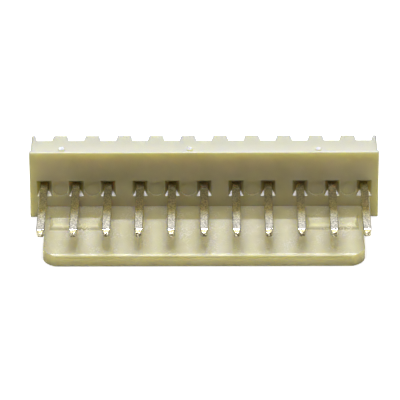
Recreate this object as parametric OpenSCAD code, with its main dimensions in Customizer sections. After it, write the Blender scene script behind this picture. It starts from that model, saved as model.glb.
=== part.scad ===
// Straight single-row pin header for a circuit board, with a friction lock wall.
// It lies on the flat back of the lock wall, as it comes to rest on a table.
// X runs along the row of contacts and Z up from the table.
// The mating ends of the contacts point to -Y and their solder tails to +Y.
// The origin is the middle of the whole part, on the table.

/* [Contacts] */
// Number of contacts in the row
pin_count = 11; // [5:1:24]
// Distance from one contact to the next
pitch = 2.54; // [2.5:0.01:3.96]
// Side of the square contact wire
pin_w = 0.64; // [0.5:0.02:0.8]
// Length of a contact in front of the mating face
mate_len = 7.75; // [6:0.05:9]
// Length of a contact behind the board feet
tail_len = 3.4; // [2.4:0.1:4.6]
// Length of the taper at both ends of a contact
tip_len = 0.4; // [0.3:0.05:0.9]
// Side of the small flat at the very end of a contact
tip_w = 0.38; // [0.2:0.02:0.48]
// Height of the contact axis above the back of the lock wall
pin_z = 2.6; // [2.4:0.05:3.2]
// Gap on each side of a contact in its hole, none for a press fit
pin_fit = 0; // [0:0.01:0.05]

/* [Base block] */
// Height of the base block from the mating face to the board feet
base_h = 3.0; // [2.4:0.05:3.6]
// Width of the base block across the row
base_w = 5.8; // [5.2:0.05:6.6]
// Room left at each end when headers stand end to end
end_room = 0.12; // [0:0.02:0.3]
// Thickness of the lip along the mating face
lip_t = 0.4; // [0.3:0.05:0.6]
// Reach of the lip past each end of the block behind it
lip_step = 0.12; // [0.05:0.01:0.25]
// Radius of the moulded outer edges
edge_r = 0.12; // [0.05:0.01:0.14]

/* [Board feet] */
// Height of the feet that hold the base off the board
foot_h = 0.9; // [0.4:0.05:1.1]
// Width of a foot where it meets the board
foot_tip_w = 1.0; // [0.6:0.05:1.2]
// Width of a foot at its root
foot_root_w = 1.35; // [1.25:0.05:1.6]

/* [Contact pockets] */
// Width of a pocket mouth along the row
pocket_w = 1.2; // [0.9:0.05:1.3]
// Height of a pocket mouth across the row
pocket_h = 1.4; // [0.9:0.05:1.6]
// Depth of a pocket, where it closes on the contact
pocket_depth = 0.45; // [0.2:0.05:0.7]

/* [Lock wall] */
// Length of the lock wall in front of the mating face
lock_len = 8.15; // [6:0.05:9]
// Thickness of the lock wall
lock_t = 1.0; // [0.8:0.05:1.2]
// Step from each end of the base block to the lock wall
lock_inset = 1.28; // [0.4:0.02:1.6]
// Corner radius of the lock wall, seen square on
lock_corner_r = 1.4; // [0.4:0.05:1.6]
// Radius of the lead-in edge on the contact side
lead_in_r = 0.35; // [0.15:0.05:0.5]

/* [Lock ridges] */
// Height of the two ridges that hold the mating plug
ridge_h = 0.28; // [0.1:0.01:0.35]
// Length of a ridge along the row
ridge_len = 4.1; // [2:0.1:4.4]
// Distance from a ridge to the end of the lock wall
ridge_inset = 0.4; // [0.1:0.05:0.5]
// Distance from the mating face to the crest of a ridge
ridge_crest = 3.45; // [3:0.05:4.5]
// Radius of the crest
ridge_r = 0.9; // [0.3:0.05:1.2]
// Slope of a ridge towards the open end of the lock wall, in degrees
ridge_lead = 30; // [20:1:45]
// Slope of a ridge towards the mating face, in degrees
ridge_rise = 7.5; // [6:0.5:12]
// Run of the slope at each end of a ridge
ridge_end = 0.3; // [0.1:0.05:0.5]

/* [Mould marks] */
// Diameter of the round ejector marks
ejector_d = 1.3; // [0.8:0.05:1.3]
// Depth of the ejector marks
ejector_depth = 0.12; // [0.03:0.01:0.15]
// Diameter of a gate stub
gate_d = 0.5; // [0.3:0.05:0.8]
// Height of a gate stub
gate_h = 0.08; // [0.05:0.01:0.2]
// Offset of the gate stubs along the row, from the middle of their gaps
gate_x = 0.15; // [-0.3:0.05:0.3]
// Distance from the mating face to the middle of a gate stub
gate_y = 0.5; // [0.5:0.05:1.5]

/* [Hidden] */
$fn = 64;
// Reach of a cutter past the face that it opens
over = 0.5;
row_len = pin_count * pitch;
base_len = row_len - 2 * end_room;
lock_w = base_len - 2 * lock_inset;
// Depth to which the lock wall is rooted in the base block, past its own round corners
root = max(base_h / 2, lock_corner_r);
// Depth to which a ridge is sunk into the lock wall, so that the two join in one solid
ridge_sunk = lock_t / 2;
front_reach = max(lock_len, mate_len);
whole_len = front_reach + base_h + tail_len;
// Mating face and board plane, in the frame of the whole part
mate_y = front_reach - whole_len / 2;
board_y = mate_y + base_h;
// Gaps between contacts that carry mould marks, the first gap being 1
ejector_gaps = [1, 2, 4, 5, 7, 9, 10];
gate_gaps = [1, 5, 9];
nylon_colour = "#d8d3b4";
tin_colour = "#c4c4c6";

function pin_x(i) = (i - (pin_count - 1) / 2) * pitch;
function gap_x(gap) = pin_x(gap - 0.5);
function pin_name(i) = str("pin_", i < 9 ? "0" : "", i + 1);

// Rectangle about the origin with round corners
module round_rect(w, h, r) {
    square([w - 2 * r, h], center = true);
    square([w, h - 2 * r], center = true);
    for (side_x = [-1, 1], side_y = [-1, 1]) {
        translate([side_x * (w / 2 - r), side_y * (h / 2 - r)]) {
            circle(r = r);
        }
    }
}

// Prism along X from an outline drawn in Y and Z, centred on x = 0
module along_x(length) {
    rotate([90, 0, 90]) {
        linear_extrude(height = length, center = true) children();
    }
}

// Prism along Y from an outline drawn in X and Z, centred on y = 0
module along_y(length) {
    rotate([90, 0, 0]) {
        linear_extrude(height = length, center = true) children();
    }
}

// Four-sided taper along Y from a mouth at y = 0 to a square end
module square_taper(mouth_w, mouth_h, end_w, depth) {
    module side(mouth) {
        polygon([[0, -mouth / 2], [0, mouth / 2], [depth, end_w / 2], [depth, -end_w / 2]]);
    }
    intersection() {
        along_x(mouth_w) side(mouth_h);
        linear_extrude(height = mouth_h, center = true) mirror([1, -1]) side(mouth_w);
    }
}

// Block with all twelve edges rounded, the mating face at y = 0 and the back at z = 0
module round_block(length, depth) {
    translate([0, depth / 2, base_w / 2]) {
        intersection() {
            linear_extrude(height = base_w, center = true) round_rect(length, depth, edge_r);
            along_x(length) round_rect(depth, base_w, edge_r);
            along_y(depth) round_rect(length, base_w, edge_r);
        }
    }
}

// Base block with the lip along its mating face
module base_block() {
    round_block(base_len, lip_t);
    round_block(base_len - 2 * lip_step, base_h);
}

// Washing channel across the board side at one contact, which leaves a foot on each side
module board_channel() {
    mouth = pitch - foot_tip_w;
    floor_w = pitch - foot_root_w;
    slope = (mouth - floor_w) / 2 / foot_h;
    translate([0, 0, base_w / 2]) {
        linear_extrude(height = base_w + 2 * over, center = true) {
            polygon([
                [-floor_w / 2, base_h - foot_h],
                [floor_w / 2, base_h - foot_h],
                [mouth / 2 + slope * over, base_h + over],
                [-mouth / 2 - slope * over, base_h + over]
            ]);
        }
    }
}

// Lead-in pocket and through hole of one contact
module contact_opening() {
    hole_w = pin_w + 2 * pin_fit;
    translate([0, 0, pin_z]) {
        square_taper(pocket_w, pocket_h, hole_w, pocket_depth);
        translate([-hole_w / 2, -over, -hole_w / 2]) {
            cube([hole_w, base_h + 2 * over, hole_w]);
        }
    }
}

// Side view of the lock wall: a lead-in radius above and a small edge radius below its front edge
module lock_profile() {
    translate([lead_in_r - lock_len, 0]) square([lock_len - lead_in_r + root, lock_t]);
    translate([-lock_len, edge_r]) square([lock_len, lock_t - edge_r - lead_in_r]);
    translate([edge_r - lock_len, 0]) square([lock_len, lock_t - lead_in_r]);
    translate([lead_in_r - lock_len, lock_t - lead_in_r]) circle(r = lead_in_r);
    translate([edge_r - lock_len, edge_r]) circle(r = edge_r);
}

// Plain lock wall, rooted in the base block
module lock_plate() {
    intersection() {
        along_x(lock_w) lock_profile();
        translate([0, (root - lock_len) / 2, 0]) {
            linear_extrude(height = lock_t) round_rect(lock_w, lock_len + root, lock_corner_r);
        }
        translate([0, (root - lock_len) / 2, lock_t / 2]) {
            along_y(lock_len + root) round_rect(lock_w, lock_t, edge_r);
        }
    }
}

// Side view of a ridge about its crest: an arc between two straight slopes
module ridge_profile() {
    function drop(slope) = ridge_r * (1 - cos(slope));
    function foot(slope) = ridge_r * sin(slope) + (ridge_h - drop(slope)) / tan(slope);
    polygon([
        [-foot(ridge_lead), -ridge_sunk],
        [-foot(ridge_lead), 0],
        [-ridge_r * sin(ridge_lead), ridge_h - drop(ridge_lead)],
        [ridge_r * sin(ridge_rise), ridge_h - drop(ridge_rise)],
        [foot(ridge_rise), 0],
        [foot(ridge_rise), -ridge_sunk]
    ]);
    translate([0, ridge_h - ridge_r]) circle(r = ridge_r);
}

// Front view of a ridge: a low trapezoid that reaches past the crest
module ridge_front() {
    half = ridge_len / 2;
    polygon([
        [-half, -lock_t],
        [-half, 0],
        [2 * ridge_end - half, 2 * ridge_h],
        [half - 2 * ridge_end, 2 * ridge_h],
        [half, 0],
        [half, -lock_t]
    ]);
}

// Low ridge across the lock wall that snaps behind the plug
module lock_ridge() {
    translate([0, -ridge_crest, lock_t]) {
        intersection() {
            along_x(ridge_len) ridge_profile();
            along_y(2 * lock_len) ridge_front();
        }
    }
}

// Moulded housing: base block, lock wall, feet, pockets and the marks of its mould
module housing() {
    color(nylon_colour) translate([0, mate_y, 0]) {
        difference() {
            union() {
                base_block();
                lock_plate();
                for (side = [-1, 1]) {
                    translate([side * (lock_w / 2 - ridge_inset - ridge_len / 2), 0, 0]) lock_ridge();
                }
                for (gap = gate_gaps) {
                    if (gap < pin_count) {
                        translate([gap_x(gap) + gate_x, gate_y, base_w - gate_h]) {
                            cylinder(d = gate_d, h = 2 * gate_h);
                        }
                    }
                }
            }
            for (i = [0 : pin_count - 1]) {
                translate([pin_x(i), 0, 0]) {
                    board_channel();
                    contact_opening();
                }
            }
            for (gap = ejector_gaps) {
                if (gap < pin_count) {
                    translate([gap_x(gap), ejector_depth, pin_z]) {
                        rotate([90, 0, 0]) cylinder(d = ejector_d, h = ejector_depth + over);
                    }
                }
            }
        }
    }
}

// One square contact, tapered on four sides at both ends
module pin(i) {
    half = pin_w / 2;
    flat = tip_w / 2;
    start = mate_y - mate_len;
    end = board_y + tail_len;
    module side() {
        polygon([
            [start, -flat],
            [start + tip_len, -half],
            [end - tip_len, -half],
            [end, -flat],
            [end, flat],
            [end - tip_len, half],
            [start + tip_len, half],
            [start, flat]
        ]);
    }
    color(tin_colour) translate([pin_x(i), 0, pin_z]) {
        intersection() {
            along_x(pin_w) side();
            linear_extrude(height = pin_w, center = true) mirror([1, -1]) side();
        }
    }
}

housing();
for (i = [0 : pin_count - 1]) {
    pin(i);
}
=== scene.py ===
"""Looks of a straight pin header: natural nylon housing, tin-plated contacts and a plain studio."""
import logging
import math
from dataclasses import dataclass
from enum import Enum

import bmesh
import bpy
from mathutils import Matrix, Vector, noise


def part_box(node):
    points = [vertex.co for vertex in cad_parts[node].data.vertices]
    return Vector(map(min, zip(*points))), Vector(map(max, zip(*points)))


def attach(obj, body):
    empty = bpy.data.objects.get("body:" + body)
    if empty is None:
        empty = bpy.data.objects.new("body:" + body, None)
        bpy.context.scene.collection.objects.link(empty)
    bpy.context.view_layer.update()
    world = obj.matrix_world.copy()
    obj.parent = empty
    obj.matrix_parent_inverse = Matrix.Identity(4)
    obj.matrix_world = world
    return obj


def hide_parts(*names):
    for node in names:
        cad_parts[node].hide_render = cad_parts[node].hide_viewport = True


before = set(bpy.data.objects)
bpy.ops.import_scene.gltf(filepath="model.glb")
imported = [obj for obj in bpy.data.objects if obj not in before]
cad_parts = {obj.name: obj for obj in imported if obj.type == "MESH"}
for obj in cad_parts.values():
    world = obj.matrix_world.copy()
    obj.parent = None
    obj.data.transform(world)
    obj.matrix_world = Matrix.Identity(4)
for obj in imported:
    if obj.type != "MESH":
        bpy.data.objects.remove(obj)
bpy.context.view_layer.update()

LOG = logging.getLogger("pin_header")
MM = 0.001
BODY = "root"
Tree = bpy.types.NodeTree
Socket = bpy.types.NodeSocket
# Colour sockets of a Mix node, whose names its other sockets share
MIX_A = 6
MIX_B = 7
MIX_RESULT = 2
# Number sockets of a Random Value node, whose names its other sockets share
RANDOM_LOW = 2
RANDOM_HIGH = 3
RANDOM_RESULT = 1
# Noise keeps mostly to this part of its range from 0 to 1
NOISE_SPREAD = (0.3, 0.7)


class Slot(Enum):
    """Slot names for the nylon and the tin, which nothing below uses."""

    NYLON = "natural_nylon"
    TIN = "tin_plate"


def linear(hex_colour: str) -> tuple[float, float, float, float]:
    """Turns an sRGB hex colour into linear values.

    Args:
        hex_colour: Colour such as "#d8d3b4".

    Returns:
        Linear red, green and blue, and an alpha of 1.
    """
    parts = [int(hex_colour[i:i + 2], 16) / 255 for i in (1, 3, 5)]
    values = [p / 12.92 if p <= 0.04045 else ((p + 0.055) / 1.055) ** 2.4 for p in parts]
    return values[0], values[1], values[2], 1.0


def add_node(
    tree: Tree,
    kind: str,
    inputs: dict[str | int, object] | None = None,
    **settings: object,
) -> bpy.types.Node:
    """Adds a node to a tree, with its settings and what feeds it.

    Args:
        tree: Tree that gets the node.
        kind: Blender's name for the type of node.
        inputs: Value or output socket for each input, by name or number.
        settings: Properties of the node.

    Returns:
        The new node.
    """
    node = tree.nodes.new(kind)
    for name, value in settings.items():
        setattr(node, name, value)
    for key, value in (inputs or {}).items():
        if isinstance(value, Socket):
            tree.links.new(value, node.inputs[key])
        else:
            node.inputs[key].default_value = value
    return node


def new_material(name: str) -> tuple[bpy.types.Material, Tree]:
    """Starts a material with an empty tree.

    Args:
        name: Name of the material.

    Returns:
        The material and its node tree.
    """
    material = bpy.data.materials.new(name)
    material.use_nodes = True
    material.node_tree.nodes.clear()
    return material, material.node_tree


@dataclass(frozen=True)
class MouldedNylon:
    """Natural nylon from a mould: creamy and half glossy, with light that soaks in at the edges.

    Plugs have rubbed and scuffed its lock wall. Its colour also carries painted light: a sheen on the
    upper face, shade on the ridges and glints on the scuffs. Names that end in mm are in millimetres.
    """

    # Tones of the clean surface, the painted sheen on the upper face and the painted highlight along
    # its front edge, the painted shade on the ridges and, darkest, on their lead slopes, the scuff
    # specks with painted glints, and the torn gates
    pale: str = "#e1dbbe"
    creamy: str = "#d9d3b1"
    top_sheen: str = "#d2d2c0"
    top_edge_highlight: str = "#e4e2d1"
    rub_and_shade: str = "#d4cfad"
    lead_slope_shade: str = "#b4b090"
    scuff_and_glint: str = "#efe9d6"
    torn: str = "#f3f3ee"
    # Heights between which the painted sheen on top, the torn whitening, the ridges' rub and painted
    # shade, and the scuffs on the flat set in
    top_sheen_mm: tuple[float, float] = (5.5, 5.85)
    torn_mm: tuple[float, float] = (5.83, 5.87)
    ridge_mm: tuple[float, float] = (1.015, 1.075)
    flat_mm: tuple[float, float] = (0.85, 0.98)
    # Places along Y: front of the base, the band of painted highlight along its upper front edge, and
    # the lead slopes of the ridges, which get the darkest painted shade
    wall_mm: float = 0.8
    top_highlight_mm: tuple[float, float] = (2.4, 0.9)
    lead_mm: tuple[float, float] = (-2.87, -3.12)
    # Sizes of the patterns, and the part of the noise that makes them
    flow_mm: float = 2.2
    flow_range: tuple[float, float] = (0.35, 0.65)
    scuff_mm: float = 1.1
    scuff_range: tuple[float, float] = (0.44, 0.64)
    scuff_stretch: float = 2.0
    speck_mm: float = 0.12
    speck_range: tuple[float, float] = (0.48, 0.62)
    grain_mm: float = 0.09
    wave_mm: float = 0.9
    # Strength of the waves, the grain and the specks, and their depth in millimetres
    wave_relief: tuple[float, float] = (0.25, 0.02)
    grain_relief: tuple[float, float] = (0.8, 0.016)
    speck_relief: tuple[float, float] = (1.0, 0.012)
    # Roughness of the body, and the share of glossy skin over it where it is whole and rubbed
    gloss: tuple[float, float] = (0.4, 0.56)
    rubbed_gloss: float = 0.5
    skin_share: tuple[float, float] = (1.0, 0.1)
    skin_gloss: float = 0.22
    ior: float = 1.6
    # How much light soaks in, and how far red, green and blue go
    soak_share: float = 0.9
    soak_mm: float = 2.2
    soak: tuple[float, float, float] = (1.0, 0.85, 0.2)

    def melt_tone(self, tree: Tree, place: Socket) -> Socket:
        """Colours the clean nylon in faint clouds, as the melt left them.

        Args:
            tree: Tree of the material.
            place: Object coordinates.

        Returns:
            Colour of the clean nylon.
        """
        flow = add_node(
            tree, "ShaderNodeTexNoise",
            {"Vector": place, "Scale": 1 / (self.flow_mm * MM), "Detail": 4.0},
        )
        cloud = add_node(
            tree, "ShaderNodeMapRange",
            {
                "Value": flow.outputs["Fac"],
                "From Min": self.flow_range[0],
                "From Max": self.flow_range[1],
            },
        )
        tone = add_node(
            tree, "ShaderNodeMix",
            {
                "Factor": cloud.outputs["Result"],
                MIX_A: linear(self.creamy),
                MIX_B: linear(self.pale),
            },
            data_type="RGBA",
        )
        return tone.outputs[MIX_RESULT]

    def upper_tone(self, tree: Tree, axes: bpy.types.Node, tone: Socket) -> Socket:
        """Paints a sheen on the long upper face, brightest as a highlight along its front edge, and
        whitens the torn gates on it.

        Args:
            tree: Tree of the material.
            axes: Node that gives the object coordinates by axis.
            tone: Colour of the clean nylon.

        Returns:
            Colour with the painted sheen on the upper face and the torn gates whitened.
        """
        # Painted sheen: from the top of the wall up, the nylon is whitened where the lights shine off
        # the upper face
        painted_sheen = add_node(
            tree, "ShaderNodeMapRange",
            {
                "Value": axes.outputs["Z"],
                "From Min": self.top_sheen_mm[0] * MM,
                "From Max": self.top_sheen_mm[1] * MM,
            },
        )
        # The painted sheen is brightest along the front edge, as a painted highlight
        edge = add_node(
            tree, "ShaderNodeMapRange",
            {
                "Value": axes.outputs["Y"],
                "From Min": self.top_highlight_mm[0] * MM,
                "From Max": self.top_highlight_mm[1] * MM,
            },
        )
        top_sheen = add_node(
            tree, "ShaderNodeMix",
            {
                "Factor": edge.outputs["Result"],
                MIX_A: linear(self.top_sheen),
                MIX_B: linear(self.top_edge_highlight),
            },
            data_type="RGBA",
        )
        upper = add_node(
            tree, "ShaderNodeMix",
            {
                "Factor": painted_sheen.outputs["Result"],
                MIX_A: tone,
                MIX_B: top_sheen.outputs[MIX_RESULT],
            },
            data_type="RGBA",
        )
        # Nylon turns white where it tears
        torn = add_node(
            tree, "ShaderNodeMapRange",
            {
                "Value": axes.outputs["Z"],
                "From Min": self.torn_mm[0] * MM,
                "From Max": self.torn_mm[1] * MM,
            },
        )
        whitened = add_node(
            tree, "ShaderNodeMix",
            {
                "Factor": torn.outputs["Result"],
                MIX_A: upper.outputs[MIX_RESULT],
                MIX_B: linear(self.torn),
            },
            data_type="RGBA",
        )
        return whitened.outputs[MIX_RESULT]

    def rub_ridges(self, tree: Tree, axes: bpy.types.Node, ahead: Socket) -> Socket:
        """Finds the ridges of the lock wall, which plugs have rubbed dull and whose tone gets painted
        shade.

        Args:
            tree: Tree of the material.
            axes: Node that gives the object coordinates by axis.
            ahead: 1 in front of the base, 0 elsewhere.

        Returns:
            1 on the ridges, 0 elsewhere.
        """
        raised = add_node(
            tree, "ShaderNodeMapRange",
            {
                "Value": axes.outputs["Z"],
                "From Min": self.ridge_mm[0] * MM,
                "From Max": self.ridge_mm[1] * MM,
                "To Max": ahead,
            },
        )
        return raised.outputs["Result"]

    def scuff_flat(self, tree: Tree, place: Socket, axes: bpy.types.Node, ahead: Socket) -> Socket:
        """Strews specks over the flat of the lock wall, in patches where plugs slid along it; their
        pale tone is partly scuffing and partly painted glints of the lights.

        Args:
            tree: Tree of the material.
            place: Object coordinates.
            axes: Node that gives the object coordinates by axis.
            ahead: 1 in front of the base, 0 elsewhere.

        Returns:
            1 on the specks, 0 elsewhere.
        """
        slid = add_node(
            tree, "ShaderNodeMapping",
            {"Vector": place, "Scale": (1.0, 1 / self.scuff_stretch, 1.0)},
        )
        patches = add_node(
            tree, "ShaderNodeTexNoise",
            {"Vector": slid.outputs["Vector"], "Scale": 1 / (self.scuff_mm * MM), "Detail": 3.0},
        )
        scuffs = add_node(
            tree, "ShaderNodeMapRange",
            {
                "Value": patches.outputs["Fac"],
                "From Min": self.scuff_range[0],
                "From Max": self.scuff_range[1],
                "To Max": ahead,
            },
        )
        flat = add_node(
            tree, "ShaderNodeMapRange",
            {
                "Value": axes.outputs["Z"],
                "From Min": self.flat_mm[0] * MM,
                "From Max": self.flat_mm[1] * MM,
                "To Max": scuffs.outputs["Result"],
            },
        )
        points = add_node(
            tree, "ShaderNodeTexNoise",
            {"Vector": place, "Scale": 1 / (self.speck_mm * MM), "Detail": 0.5},
        )
        specks = add_node(
            tree, "ShaderNodeMapRange",
            {
                "Value": points.outputs["Fac"],
                "From Min": self.speck_range[0],
                "From Max": self.speck_range[1],
                "To Max": flat.outputs["Result"],
            },
        )
        return specks.outputs["Result"]

    def paint_ridge_shade_and_specks(
        self, tree: Tree, axes: bpy.types.Node, tone: Socket, rub_and_shade: Socket, specks: Socket
    ) -> Socket:
        """Paints shade on the ridges, darkest on their lead slopes, and pales the specks as scuffs
        with painted glints.

        Args:
            tree: Tree of the material.
            axes: Node that gives the object coordinates by axis.
            tone: Colour without the painted ridge shade and the scuff specks.
            rub_and_shade: 1 on the ridges.
            specks: 1 on the specks.

        Returns:
            Colour with the painted ridge shade and the paled scuff specks.
        """
        lead = add_node(
            tree, "ShaderNodeMapRange",
            {
                "Value": axes.outputs["Y"],
                "From Min": self.lead_mm[0] * MM,
                "From Max": self.lead_mm[1] * MM,
            },
        )
        # Painted shade: the ridges are darkened, and their lead slopes, which turn away from the key
        # strip, are darkened most
        ridge_shade = add_node(
            tree, "ShaderNodeMix",
            {
                "Factor": lead.outputs["Result"],
                MIX_A: linear(self.rub_and_shade),
                MIX_B: linear(self.lead_slope_shade),
            },
            data_type="RGBA",
        )
        shaded_ridges = add_node(
            tree, "ShaderNodeMix",
            {"Factor": rub_and_shade, MIX_A: tone, MIX_B: ridge_shade.outputs[MIX_RESULT]},
            data_type="RGBA",
        )
        # Scuffs with painted glints: the specks are paled, partly as plug scuffs and partly as glints
        # of the lights
        painted_sheen = add_node(
            tree, "ShaderNodeMix",
            {"Factor": specks, MIX_A: shaded_ridges.outputs[MIX_RESULT], MIX_B: linear(self.scuff_and_glint)},
            data_type="RGBA",
        )
        return painted_sheen.outputs[MIX_RESULT]

    def relief(self, tree: Tree, place: Socket, grain: Socket, specks: Socket) -> Socket:
        """Lays slow sink waves, which bend the highlights, under the grain and the specks.

        Args:
            tree: Tree of the material.
            place: Object coordinates.
            grain: Height of the grain.
            specks: Height of the specks.

        Returns:
            Normal of the surface.
        """
        waves = add_node(
            tree, "ShaderNodeTexNoise",
            {"Vector": place, "Scale": 1 / (self.wave_mm * MM), "Detail": 1.0},
        )
        layers = (
            (self.wave_relief, waves.outputs["Fac"]),
            (self.grain_relief, grain),
            (self.speck_relief, specks),
        )
        under: dict[str, Socket] = {}
        for (strength, depth_mm), height in layers:
            bump = add_node(
                tree, "ShaderNodeBump",
                {"Strength": strength, "Distance": depth_mm * MM, "Height": height, **under},
            )
            under = {"Normal": bump.outputs["Normal"]}
        return under["Normal"]

    def material(self) -> bpy.types.Material:
        """Builds the material.

        Returns:
            The finished material.
        """
        material, tree = new_material("natural_nylon_moulded")
        place = add_node(tree, "ShaderNodeTexCoord").outputs["Object"]
        axes = add_node(tree, "ShaderNodeSeparateXYZ", {"Vector": place})
        ahead = add_node(
            tree, "ShaderNodeMath",
            {0: axes.outputs["Y"], 1: self.wall_mm * MM}, operation="LESS_THAN",
        ).outputs[0]
        rub_and_shade = self.rub_ridges(tree, axes, ahead)
        specks = self.scuff_flat(tree, place, axes, ahead)
        tone = self.upper_tone(tree, axes, self.melt_tone(tree, place))
        # Grain of the mould steel breaks up the gloss, drawn coarser than it is so that it shows
        grain = add_node(
            tree, "ShaderNodeTexNoise",
            {"Vector": place, "Scale": 1 / (self.grain_mm * MM), "Detail": 3.0},
        ).outputs["Fac"]
        sheen = add_node(
            tree, "ShaderNodeMapRange",
            {
                "Value": grain,
                "From Min": NOISE_SPREAD[0],
                "From Max": NOISE_SPREAD[1],
                "To Min": self.gloss[0],
                "To Max": self.gloss[1],
            },
        )
        sheen = add_node(
            tree, "ShaderNodeMix",
            {"Factor": rub_and_shade, "A": sheen.outputs["Result"], "B": self.rubbed_gloss},
        )
        # The skin that lay against the mould shines along the rims, except where it is rubbed off
        skin = add_node(
            tree, "ShaderNodeMix",
            {"Factor": rub_and_shade, "A": self.skin_share[0], "B": self.skin_share[1]},
        )
        normal = self.relief(tree, place, grain, specks)
        shader = add_node(
            tree, "ShaderNodeBsdfPrincipled",
            {
                "Base Color": self.paint_ridge_shade_and_specks(tree, axes, tone, rub_and_shade, specks),
                "Roughness": sheen.outputs[0],
                "IOR": self.ior,
                "Coat Weight": skin.outputs[0],
                "Coat Roughness": self.skin_gloss,
                "Subsurface Weight": self.soak_share,
                "Subsurface Radius": self.soak,
                "Subsurface Scale": self.soak_mm * MM,
                "Normal": normal,
                "Coat Normal": normal,
            },
        )
        add_node(tree, "ShaderNodeOutputMaterial", {"Surface": shader.outputs["BSDF"]})
        return material


@dataclass(frozen=True)
class BrightTin:
    """Bright tin plating on drawn wire: a warm grey mirror, slightly grained along the wire.

    Names that end in mm are in millimetres.
    """

    bright: str = "#faf8f2"
    grey: str = "#c6c5c2"
    sheared: str = "#7d7463"
    # Middle of the contacts along Y, and how far from it the sheared ends begin
    middle_mm: float = 0.2
    end_mm: tuple[float, float] = (7.0, 7.06)
    # Sizes of the patterns, and the part of the noise that makes the speckle and the pits
    grain_mm: float = 0.11
    speckle_range: tuple[float, float] = (0.38, 0.6)
    pit_range: tuple[float, float] = (0.58, 0.46)
    streak_mm: float = 0.07
    streak_stretch: float = 14.0
    gloss: tuple[float, float] = (0.07, 0.18)
    # Strength of the grain, and its depth in millimetres
    grain_relief: tuple[float, float] = (0.6, 0.014)

    def plated_tone(self, tree: Tree, grain: Socket) -> Socket:
        """Speckles the plating with its grain.

        Args:
            tree: Tree of the material.
            grain: Noise of the grain.

        Returns:
            Colour of the plating.
        """
        speckle = add_node(
            tree, "ShaderNodeMapRange",
            {
                "Value": grain,
                "From Min": self.speckle_range[0],
                "From Max": self.speckle_range[1],
            },
        )
        tone = add_node(
            tree, "ShaderNodeMix",
            {
                "Factor": speckle.outputs["Result"],
                MIX_A: linear(self.grey),
                MIX_B: linear(self.bright),
            },
            data_type="RGBA",
        )
        return tone.outputs[MIX_RESULT]

    def sheared_tone(self, tree: Tree, place: Socket, grain: Socket, tone: Socket) -> Socket:
        """Pits both ends dark, where the wire was sheared off after plating.

        Args:
            tree: Tree of the material.
            place: Object coordinates.
            grain: Noise of the grain.
            tone: Colour of the plating.

        Returns:
            Colour with the pitted ends.
        """
        axes = add_node(tree, "ShaderNodeSeparateXYZ", {"Vector": place})
        offset = add_node(
            tree, "ShaderNodeMath",
            {0: axes.outputs["Y"], 1: self.middle_mm * MM}, operation="SUBTRACT",
        )
        reach = add_node(tree, "ShaderNodeMath", {0: offset.outputs[0]}, operation="ABSOLUTE")
        cut_end = add_node(
            tree, "ShaderNodeMapRange",
            {
                "Value": reach.outputs[0],
                "From Min": self.end_mm[0] * MM,
                "From Max": self.end_mm[1] * MM,
            },
        )
        pits = add_node(
            tree, "ShaderNodeMapRange",
            {
                "Value": grain,
                "From Min": self.pit_range[0],
                "From Max": self.pit_range[1],
                "To Max": cut_end.outputs["Result"],
            },
        )
        pitted = add_node(
            tree, "ShaderNodeMix",
            {"Factor": pits.outputs["Result"], MIX_A: tone, MIX_B: linear(self.sheared)},
            data_type="RGBA",
        )
        return pitted.outputs[MIX_RESULT]

    def material(self) -> bpy.types.Material:
        """Builds the material.

        Returns:
            The finished material.
        """
        material, tree = new_material("tin_plate_bright")
        place = add_node(tree, "ShaderNodeTexCoord").outputs["Object"]
        # Grain of the plating speckles the mirror, drawn coarser than it is so that it shows
        grain = add_node(
            tree, "ShaderNodeTexNoise",
            {"Vector": place, "Scale": 1 / (self.grain_mm * MM), "Detail": 3.0},
        ).outputs["Fac"]
        tone = self.sheared_tone(tree, place, grain, self.plated_tone(tree, grain))
        # Drawing marks run along the wire and dull it in streaks, also drawn coarse
        drawn = add_node(
            tree, "ShaderNodeMapping",
            {"Vector": place, "Scale": (1.0, 1 / self.streak_stretch, 1.0)},
        )
        streak = add_node(
            tree, "ShaderNodeTexNoise",
            {"Vector": drawn.outputs["Vector"], "Scale": 1 / (self.streak_mm * MM), "Detail": 2.0},
        )
        sheen = add_node(
            tree, "ShaderNodeMapRange",
            {
                "Value": streak.outputs["Fac"],
                "From Min": NOISE_SPREAD[0],
                "From Max": NOISE_SPREAD[1],
                "To Min": self.gloss[0],
                "To Max": self.gloss[1],
            },
        )
        strength, depth_mm = self.grain_relief
        skin = add_node(
            tree, "ShaderNodeBump",
            {"Strength": strength, "Distance": depth_mm * MM, "Height": grain},
        )
        shader = add_node(
            tree, "ShaderNodeBsdfPrincipled",
            {
                "Base Color": tone,
                "Metallic": 1.0,
                "Roughness": sheen.outputs["Result"],
                "Normal": skin.outputs["Normal"],
            },
        )
        add_node(tree, "ShaderNodeOutputMaterial", {"Surface": shader.outputs["BSDF"]})
        return material


@dataclass(frozen=True)
class WhitePaper:
    """Matt white backdrop paper under strong light: it shows hardly more than the line of contact."""

    name: str
    white: str
    shade: str
    glow: float
    roughness: float = 0.9
    fibre_mm: float = 1.5

    def material(self) -> bpy.types.Material:
        """Builds the material.

        Returns:
            The finished material.
        """
        material, tree = new_material(self.name)
        place = add_node(tree, "ShaderNodeTexCoord").outputs["Object"]
        fibre = add_node(
            tree, "ShaderNodeTexNoise",
            {"Vector": place, "Scale": 1 / (self.fibre_mm * MM), "Detail": 2.0},
        )
        tone = add_node(
            tree, "ShaderNodeMix",
            {
                "Factor": fibre.outputs["Fac"],
                MIX_A: linear(self.shade),
                MIX_B: linear(self.white),
            },
            data_type="RGBA",
        ).outputs[MIX_RESULT]
        shader = add_node(
            tree, "ShaderNodeBsdfPrincipled",
            {
                "Base Color": tone,
                "Roughness": self.roughness,
                "Specular IOR Level": 0.0,
                "Emission Color": tone,
                "Emission Strength": self.glow,
            },
        )
        add_node(tree, "ShaderNodeOutputMaterial", {"Surface": shader.outputs["BSDF"]})
        return material


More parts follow.
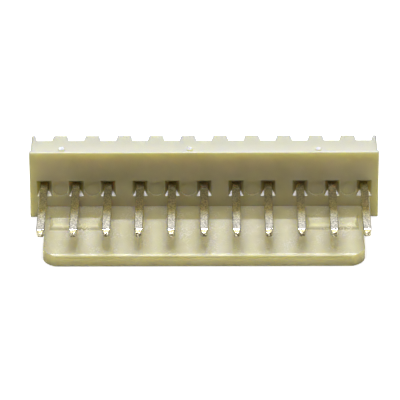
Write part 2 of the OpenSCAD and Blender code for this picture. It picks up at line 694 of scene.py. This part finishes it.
def new_piece(name: str, mesh: bpy.types.Mesh) -> bpy.types.Object:
    """Puts a mesh into the scene as an object at the origin.

    Args:
        name: Name of the piece and of its mesh.
        mesh: Mesh with its place in its own points.

    Returns:
        The new object.
    """
    mesh.name = name
    piece = bpy.data.objects.new(name, mesh)
    bpy.context.scene.collection.objects.link(piece)
    return piece


def shade(piece: bpy.types.Object, sharp_angle: float) -> None:
    """Shades a piece so that its flats stay flat and only its rims turn.

    Args:
        piece: Piece to shade.
        sharp_angle: Angle in radians from which an edge stays sharp.
    """
    shape = bmesh.new()
    shape.from_mesh(piece.data)
    for face in shape.faces:
        face.smooth = True
    for edge in shape.edges:
        edge.smooth = edge.calc_face_angle(0.0) < sharp_angle
    shape.to_mesh(piece.data)
    shape.free()
    flats = piece.modifiers.new("flat_faces", "WEIGHTED_NORMAL")
    flats.keep_sharp = True


def contact_names() -> list[str]:
    """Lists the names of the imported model's contacts, in order along the row."""
    return sorted(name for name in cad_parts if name.startswith("pin_"))


@dataclass
class MouldedHousing:
    """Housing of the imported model, with the soft rims that a mould leaves on it."""

    finish: bpy.types.Material
    node: str = "housing"
    # Points closer than this are one point, and faces within this angle are one flat
    merge: float = 0.0001 * MM
    flat_angle: float = math.radians(0.5)
    # Outer edges that are sharper and longer than this are rounded
    rim_angle: float = math.radians(52)
    rim_length: float = 0.2 * MM
    rim_round: float = 0.055 * MM
    rim_steps: int = 4
    smooth_angle: float = math.radians(29)
    # Height and upward facing of the gate stubs' ends, and how finely and how high they tear
    gate_level: float = 5.85 * MM
    gate_facing: float = 0.9
    tear_cuts: int = 3
    tear_size: float = 0.2 * MM
    tear_height: float = 0.14 * MM
    tear_lift: float = 0.3

    def slab_places(self) -> list[float]:
        """Works out where slabs of the housing meet: at each contact and halfway to the next.

        Returns:
            Places along X, in order.
        """
        boxes = [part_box(name) for name in contact_names()]
        middles = [(low[0] + high[0]) / 2 for low, high in boxes]
        halves = [(left + right) / 2 for left, right in zip(middles, middles[1:])]
        return sorted(middles + halves)

    def join_flats(self, shape: bmesh.types.BMesh) -> None:
        """Joins the triangles of each flat, slab by slab, so that no flat keeps a hole in it.

        Args:
            shape: Mesh of the housing.
        """
        for place in self.slab_places():
            everything = [*shape.verts, *shape.edges, *shape.faces]
            cut = bmesh.ops.bisect_plane(
                shape, geom=everything, dist=self.merge,
                plane_co=(place, 0.0, 0.0), plane_no=(1.0, 0.0, 0.0),
            )
            for part in cut["geom_cut"]:
                if isinstance(part, bmesh.types.BMEdge):
                    part.seam = True
        bmesh.ops.dissolve_limit(
            shape, angle_limit=self.flat_angle, verts=shape.verts, edges=shape.edges,
            delimit={"SEAM"},
        )
        for edge in shape.edges:
            edge.seam = False

    def tear_gates(self, shape: bmesh.types.BMesh) -> None:
        """Roughens the ends of the gate stubs, where the runner was torn off.

        Args:
            shape: Mesh of the housing.
        """
        tops = [
            face for face in shape.faces
            if face.calc_center_median().z > self.gate_level and face.normal.z > self.gate_facing
        ]
        poked = bmesh.ops.poke(shape, faces=tops)
        spokes = {edge for face in poked["faces"] for edge in face.edges}
        bmesh.ops.subdivide_edges(
            shape, edges=list(spokes), cuts=self.tear_cuts, use_grid_fill=True,
        )
        shape.normal_update()
        inner = [
            vert for vert in shape.verts
            if vert.co.z > self.gate_level
            and all(face.normal.z > self.gate_facing for face in vert.link_faces)
        ]
        for vert in inner:
            lift = self.tear_lift + noise.noise(vert.co / self.tear_size)
            vert.co.z += self.tear_height * max(lift, 0.0)

    def build(self) -> bpy.types.Object:
        """Copies the housing's mesh, joins its triangles, rounds its outer rims and tears its gates.

        Returns:
            The housing, without its finish.
        """
        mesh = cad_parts[self.node].data.copy()
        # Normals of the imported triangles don't fit the joined faces
        packed_normals = mesh.attributes.get("custom_normal")
        if packed_normals:
            mesh.attributes.remove(packed_normals)
        shape = bmesh.new()
        shape.from_mesh(mesh)
        bmesh.ops.remove_doubles(shape, verts=shape.verts, dist=self.merge)
        self.join_flats(shape)
        rims = [
            edge for edge in shape.edges
            if edge.is_convex
            and edge.calc_face_angle(0.0) > self.rim_angle
            and edge.calc_length() > self.rim_length
        ]
        bmesh.ops.bevel(
            shape, geom=rims, offset=self.rim_round, offset_type="OFFSET", segments=self.rim_steps,
            profile=0.5, affect="EDGES", clamp_overlap=False,
        )
        bmesh.ops.dissolve_degenerate(shape, dist=self.merge, edges=shape.edges)
        self.tear_gates(shape)
        shape.to_mesh(mesh)
        shape.free()
        return new_piece("housing_moulding", mesh)

    def dress(self, piece: bpy.types.Object) -> None:
        """Gives the housing its finish, shading and place in the frame.

        Args:
            piece: Housing from build.
        """
        piece.data.materials.clear()
        piece.data.materials.append(self.finish)
        shade(piece, self.smooth_angle)
        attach(piece, BODY)
        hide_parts(self.node)


@dataclass
class ContactRow:
    """Row of square contacts, tapered at both ends, that stand in the housing."""

    finish: bpy.types.Material
    # Width and length of the tapered ends, and the rounding of the wire's corners
    tip: float = 0.38 * MM
    tip_len: float = 0.40 * MM
    corner: float = 0.05 * MM
    corner_steps: int = 5
    # Length of the blunt ends, also half that of the soft shoulders, and the share of the tip's
    # width that the blunt ends keep
    soft: float = 0.04 * MM
    blunt: float = 0.8
    # Where the housing holds the contacts, and how far they lean there
    hold: float = 2.3 * MM
    lean: float = math.radians(0.12)
    seed: int = 7
    smooth_angle: float = math.radians(29)

    def sizes(self) -> dict[str, float | int]:
        """Reads the row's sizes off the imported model, for the inputs of the tree.

        Returns:
            Value of each input, by name.
        """
        names = contact_names()
        low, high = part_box(names[0])
        last_low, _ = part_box(names[-1])
        wire = high[0] - low[0]
        return {
            "Count": len(names),
            "Pitch": (last_low[0] - low[0]) / (len(names) - 1),
            "First Contact": (low[0] + high[0]) / 2,
            "Axis Height": (low[2] + high[2]) / 2,
            "Front End": low[1] - self.hold,
            "Tail End": high[1] - self.hold,
            "Wire Width": wire,
            "Blunt Scale": self.blunt * self.tip / wire,
            "Tip Scale": self.tip / wire,
            "Tip Start": self.soft,
            "Tip Stop": self.tip_len - self.soft,
            "Wire Start": self.tip_len + self.soft,
            "Corner Radius": self.corner,
            "Held At": self.hold,
            "Lean": self.lean,
            "Seed": self.seed,
        }

    def rings(self, tree: Tree, sizes: bpy.types.Node) -> tuple[list[Socket], list[Socket | float]]:
        """Lists the rings of a contact from its front end to its tail.

        Args:
            tree: Tree of the row.
            sizes: Node that gives the row's sizes.

        Returns:
            Places of the rings along the wire, and their widths as shares of the wire's.
        """
        given = sizes.outputs
        shoulder = add_node(
            tree, "ShaderNodeMapRange",
            {
                "Value": given["Tip Stop"],
                "From Min": given["Tip Start"],
                "From Max": given["Wire Start"],
                "To Min": given["Tip Scale"],
                "To Max": 1.0,
            },
        )
        # A blunt end, the taper, a soft shoulder and the plain wire
        end_rings = (
            (0.0, given["Blunt Scale"]),
            (given["Tip Start"], given["Tip Scale"]),
            (given["Tip Stop"], shoulder.outputs["Result"]),
            (given["Wire Start"], 1.0),
        )
        places, widths = [], []
        for end, way, row in (("Front End", 1.0, end_rings), ("Tail End", -1.0, end_rings[::-1])):
            for step, width in row:
                place = add_node(
                    tree, "ShaderNodeMath", {0: step, 1: way, 2: given[end]}, operation="MULTIPLY_ADD",
                )
                places.append(place.outputs[0])
                widths.append(width)
        return places, widths

    def sweep(self, tree: Tree, sizes: bpy.types.Node) -> Socket:
        """Sweeps the square wire along one contact, ring by ring.

        Args:
            tree: Tree of the row.
            sizes: Node that gives the row's sizes.

        Returns:
            Mesh of one contact, about the point where the housing holds it.
        """
        given = sizes.outputs
        rings = self.rings(tree, sizes)
        index = add_node(tree, "GeometryNodeInputIndex").outputs["Index"]
        picks = []
        for values in rings:
            pick = add_node(tree, "GeometryNodeIndexSwitch", {"Index": index}, data_type="FLOAT")
            while len(pick.index_switch_items) < len(values):
                pick.index_switch_items.new()
            for number, value in enumerate(values, start=1):
                if isinstance(value, Socket):
                    tree.links.new(value, pick.inputs[number])
                else:
                    pick.inputs[number].default_value = value
            picks.append(pick.outputs[0])
        along = add_node(tree, "ShaderNodeCombineXYZ", {"Y": picks[0]})
        chain = add_node(
            tree, "GeometryNodeMeshLine", {"Count": len(rings[0]), "Offset": (0.0, MM, 0.0)},
        )
        axis = add_node(tree, "GeometryNodeMeshToCurve", {"Mesh": chain.outputs["Mesh"]})
        axis = add_node(
            tree, "GeometryNodeSetPosition",
            {"Geometry": axis.outputs["Curve"], "Position": along.outputs["Vector"]},
        )
        square = add_node(
            tree, "GeometryNodeCurvePrimitiveQuadrilateral",
            {"Width": given["Wire Width"], "Height": given["Wire Width"]},
        )
        wire = add_node(
            tree, "GeometryNodeFilletCurve",
            {
                "Curve": square.outputs["Curve"],
                "Count": self.corner_steps,
                "Radius": given["Corner Radius"],
            },
            mode="POLY",
        )
        contact = add_node(
            tree, "GeometryNodeCurveToMesh",
            {
                "Curve": axis.outputs["Geometry"],
                "Profile Curve": wire.outputs["Curve"],
                "Scale": picks[1],
                "Fill Caps": True,
            },
        )
        return contact.outputs["Mesh"]

    def repeat(self, tree: Tree, sizes: bpy.types.Node, contact: Socket) -> Socket:
        """Puts a contact at each place of the row, each leaning a hair its own way.

        Args:
            tree: Tree of the row.
            sizes: Node that gives the row's sizes.
            contact: Mesh of one contact.

        Returns:
            Mesh of the whole row.
        """
        given = sizes.outputs
        start = add_node(
            tree, "ShaderNodeCombineXYZ",
            {"X": given["First Contact"], "Y": given["Held At"], "Z": given["Axis Height"]},
        )
        step = add_node(tree, "ShaderNodeCombineXYZ", {"X": given["Pitch"]})
        line = add_node(
            tree, "GeometryNodeMeshLine",
            {
                "Count": given["Count"],
                "Start Location": start.outputs["Vector"],
                "Offset": step.outputs["Vector"],
            },
        )
        turn = add_node(tree, "ShaderNodeCombineXYZ")
        back = add_node(tree, "ShaderNodeMath", {0: given["Lean"], 1: -1.0}, operation="MULTIPLY")
        for number, axis_name in enumerate(("X", "Z")):
            seed = add_node(tree, "ShaderNodeMath", {0: given["Seed"], 1: number}, operation="ADD")
            random = add_node(
                tree, "FunctionNodeRandomValue",
                {
                    RANDOM_LOW: back.outputs[0],
                    RANDOM_HIGH: given["Lean"],
                    "Seed": seed.outputs[0],
                },
            )
            tree.links.new(random.outputs[RANDOM_RESULT], turn.inputs[axis_name])
        spread = add_node(
            tree, "GeometryNodeInstanceOnPoints",
            {
                "Points": line.outputs["Mesh"],
                "Instance": contact,
                "Rotation": turn.outputs["Vector"],
            },
        )
        solid = add_node(
            tree, "GeometryNodeRealizeInstances", {"Geometry": spread.outputs["Instances"]},
        )
        return solid.outputs["Geometry"]

    def tree(self) -> Tree:
        """Builds the tree that sweeps one contact and repeats it along the row.

        Returns:
            The tree, with an input for each size.
        """
        tree = bpy.data.node_groups.new("contact_row", "GeometryNodeTree")
        tree.interface.new_socket("Row", in_out="OUTPUT", socket_type="NodeSocketGeometry")
        for name, value in self.sizes().items():
            kind = "NodeSocketInt" if isinstance(value, int) else "NodeSocketFloat"
            tree.interface.new_socket(name, in_out="INPUT", socket_type=kind)
        tree.interface.new_socket("Finish", in_out="INPUT", socket_type="NodeSocketMaterial")
        sizes = add_node(tree, "NodeGroupInput")
        plated = add_node(
            tree, "GeometryNodeSetMaterial",
            {
                "Geometry": self.repeat(tree, sizes, self.sweep(tree, sizes)),
                "Material": sizes.outputs["Finish"],
            },
        )
        add_node(tree, "NodeGroupOutput", {"Row": plated.outputs["Geometry"]})
        return tree

    def build(self) -> bpy.types.Object:
        """Runs the tree on an empty object and keeps its result as a plain mesh.

        Returns:
            The row of contacts, with its finish.
        """
        maker = new_piece("contact_row_maker", bpy.data.meshes.new("contact_row_maker"))
        modifier = maker.modifiers.new("contacts", "NODES")
        modifier.node_group = self.tree()
        values = dict(self.sizes(), Finish=self.finish)
        for socket in modifier.node_group.interface.items_tree:
            if socket.in_out == "INPUT":
                modifier[socket.identifier] = values[socket.name]
        seen = maker.evaluated_get(bpy.context.evaluated_depsgraph_get())
        mesh = bpy.data.meshes.new_from_object(seen)
        bpy.data.objects.remove(maker)
        return new_piece("contact_row", mesh)

    def dress(self, piece: bpy.types.Object) -> None:
        """Gives the contacts their shading and place in the frame.

        Args:
            piece: Contacts from build.
        """
        shade(piece, self.smooth_angle)
        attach(piece, BODY)
        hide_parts(*contact_names())


@dataclass(frozen=True)
class Panel:
    """Soft light panel that faces the part."""

    name: str
    place: tuple[float, float, float]
    size: tuple[float, float]
    power: float
    colour: str

    def build(self, target: Vector) -> None:
        """Hangs the panel.

        Args:
            target: Point that the panel faces.
        """
        data = bpy.data.lights.new(self.name, "AREA")
        data.shape = "RECTANGLE"
        data.size, data.size_y = self.size
        data.energy = self.power
        data.color = linear(self.colour)[:3]
        light = bpy.data.objects.new(self.name, data)
        light.location = self.place
        light.rotation_euler = (target - light.location).to_track_quat("-Z", "Y").to_euler()
        bpy.context.scene.collection.objects.link(light)


@dataclass
class Studio:
    """Plain pale floor, soft light and the camera at the photograph's angle."""

    # Sheets under the part
    floor_size: tuple[float, float] = (3.0, 3.0)
    card_size: tuple[float, float] = (60 * MM, 44 * MM)
    floor_drop: float = 0.02 * MM
    card_drop: float = 0.01 * MM
    # Point that the camera and the panels aim at, its place in the picture, and the camera itself
    aim: tuple[float, float, float] = (0.0, 0.875 * MM, 0.0)
    aim_pixel: tuple[float, float] = (204.2, 217.0)
    image: float = 400.0
    pixels_per_mm: float = 12.534
    distance: float = 290 * MM
    elevation: float = math.radians(28)
    azimuth: float = math.radians(0.3)
    roll: float = math.radians(-0.27)
    sensor: float = 36.0
    clip: float = 10 * MM
    # Light from all around, and the panels
    air: str = "#fbf8e6"
    air_strength: float = 0.056
    panels: tuple[Panel, ...] = (
        Panel(
            "key_strip", place=(0.0, 0.150, 0.320), size=(0.34, 0.0147), power=0.73, colour="#e2e7ff",
        ),
        Panel(
            "front_lamp", place=(0.0, -0.102, 0.335), size=(0.03, 0.02), power=0.235, colour="#e9edff",
        ),
        Panel(
            "overhead_box", place=(0.0, -0.04, 0.45), size=(0.5, 0.36), power=0.57, colour="#fcf2c0",
        ),
        Panel(
            "back_panel", place=(0.0, 0.53, 0.28), size=(0.8, 0.16), power=0.252, colour="#fffdf8",
        ),
    )

    def build_sheet(
        self, name: str, size: tuple[float, float], drop: float, finish: bpy.types.Material
    ) -> bpy.types.Object:
        """Lays a flat sheet under the part.

        Args:
            name: Name of the sheet.
            size: Its sides in X and Y.
            drop: Depth below the part.
            finish: Material of the sheet.

        Returns:
            The sheet.
        """
        x, y = size[0] / 2, size[1] / 2
        corners = [(-x, -y, -drop), (x, -y, -drop), (x, y, -drop), (-x, y, -drop)]
        mesh = bpy.data.meshes.new(name)
        mesh.from_pydata(corners, [], [(0, 1, 2, 3)])
        mesh.materials.append(finish)
        sheet = new_piece(name, mesh)
        return sheet

    def build_floor(self, paper: bpy.types.Material, card: bpy.types.Material) -> None:
        """Lays the floor that shows, and a card on it that throws light back up into the part.

        Args:
            paper: Material of the floor.
            card: Material of the card.
        """
        floor = self.build_sheet("floor", self.floor_size, self.floor_drop, paper)
        # The bright floor would flood the part with light, so the dimmer card lights it instead
        floor.visible_diffuse = False
        floor.visible_glossy = False
        bounce = self.build_sheet("card", self.card_size, self.card_drop, card)
        bounce.visible_camera = False
        bounce.visible_shadow = False

    def build_light(self) -> None:
        """Hangs the panels and sets the tone of the room and of the picture."""
        for panel in self.panels:
            panel.build(Vector(self.aim))
        scene = bpy.context.scene
        scene.world = bpy.data.worlds.new("room")
        scene.world.use_nodes = True
        room = scene.world.node_tree.nodes["Background"]
        room.inputs["Color"].default_value = linear(self.air)
        room.inputs["Strength"].default_value = self.air_strength
        scene.view_settings.view_transform = "Standard"
        scene.view_settings.look = "High Contrast"

    def build_camera(self) -> None:
        """Sets up the camera so that the aim point falls on its pixel."""
        data = bpy.data.cameras.new("camera")
        data.sensor_width = self.sensor
        data.lens = self.pixels_per_mm * self.distance / MM / self.image * self.sensor
        data.clip_start = self.clip
        camera = bpy.data.objects.new("camera", data)
        tilt = Matrix.Rotation(math.pi / 2 - self.elevation, 3, "X")
        turn = Matrix.Rotation(self.azimuth, 3, "Z") @ tilt @ Matrix.Rotation(self.roll, 3, "Z")
        camera.rotation_euler = turn.to_euler()
        middle = self.image / 2
        right = (middle - self.aim_pixel[0]) / self.pixels_per_mm * MM
        up = (self.aim_pixel[1] - middle) / self.pixels_per_mm * MM
        camera.location = Vector(self.aim) + turn @ Vector((right, up, self.distance))
        bpy.context.scene.collection.objects.link(camera)
        bpy.context.scene.camera = camera


def main() -> None:
    """Builds and dresses the pieces in order, then the studio around them."""
    logging.basicConfig(level=logging.INFO, format="%(name)s: %(message)s")
    for part in (MouldedHousing(MouldedNylon().material()), ContactRow(BrightTin().material())):
        piece = part.build()
        part.dress(piece)
        LOG.info("%s: %d faces", piece.name, len(piece.data.polygons))
    studio = Studio()
    paper = WhitePaper("backdrop_paper_matt", white="#f4f4f4", shade="#efefef", glow=0.5)
    card = WhitePaper("card_matt", white="#ece8d0", shade="#e6e2ca", glow=0.06)
    studio.build_floor(paper.material(), card.material())
    studio.build_light()
    studio.build_camera()
    LOG.info("studio: floor, %d panels and camera", len(studio.panels))


if __name__ == "__main__":
    main()
